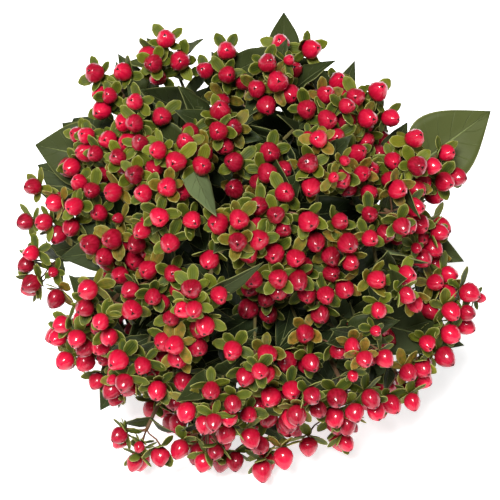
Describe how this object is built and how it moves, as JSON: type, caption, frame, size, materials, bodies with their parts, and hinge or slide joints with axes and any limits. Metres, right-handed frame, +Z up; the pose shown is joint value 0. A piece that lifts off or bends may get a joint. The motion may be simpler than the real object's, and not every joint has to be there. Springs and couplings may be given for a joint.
{
  "type": "bunch of hypericum berry stems",
  "caption": "Bunch of cut hypericum stems with sprays of glossy red berries in green sepals and dark leaves, held by a rubber band and lying on its side.",
  "frame": {"origin": "on the surface that the bunch lies on, under the middle of its box", "axes": "+Y along the stems towards their cut ends with the head of berries at -Y, +Z up"},
  "size_m": [0.2886, 0.4296, 0.2445],
  "materials": {
    "cane_bark": "red-brown bark, satin",
    "leaf_green": "dark green, dull, with pale veins and a paler underside",
    "sepal_green": "mid green to yellow-green with pale edges",
    "berry_red": "glossy crimson skin with fine dark seams",
    "band_rubber": "plain dull tan rubber"
  },
  "bodies": {
    "root": {"berry_stem_01": "cane_bark", "berry_stem_02": "cane_bark", "berry_stem_03": "cane_bark", "berry_stem_04": "cane_bark", "berry_stem_05": "cane_bark", "berry_stem_06": "cane_bark", "berry_stem_07": "cane_bark", "berry_stem_08": "cane_bark", "berry_stem_09": "cane_bark", "berry_stem_10": "cane_bark", "berry_stem_11": "cane_bark", "berry_stem_12": "cane_bark", "rubber_band": "band_rubber"}
  },
  "joints": []
}
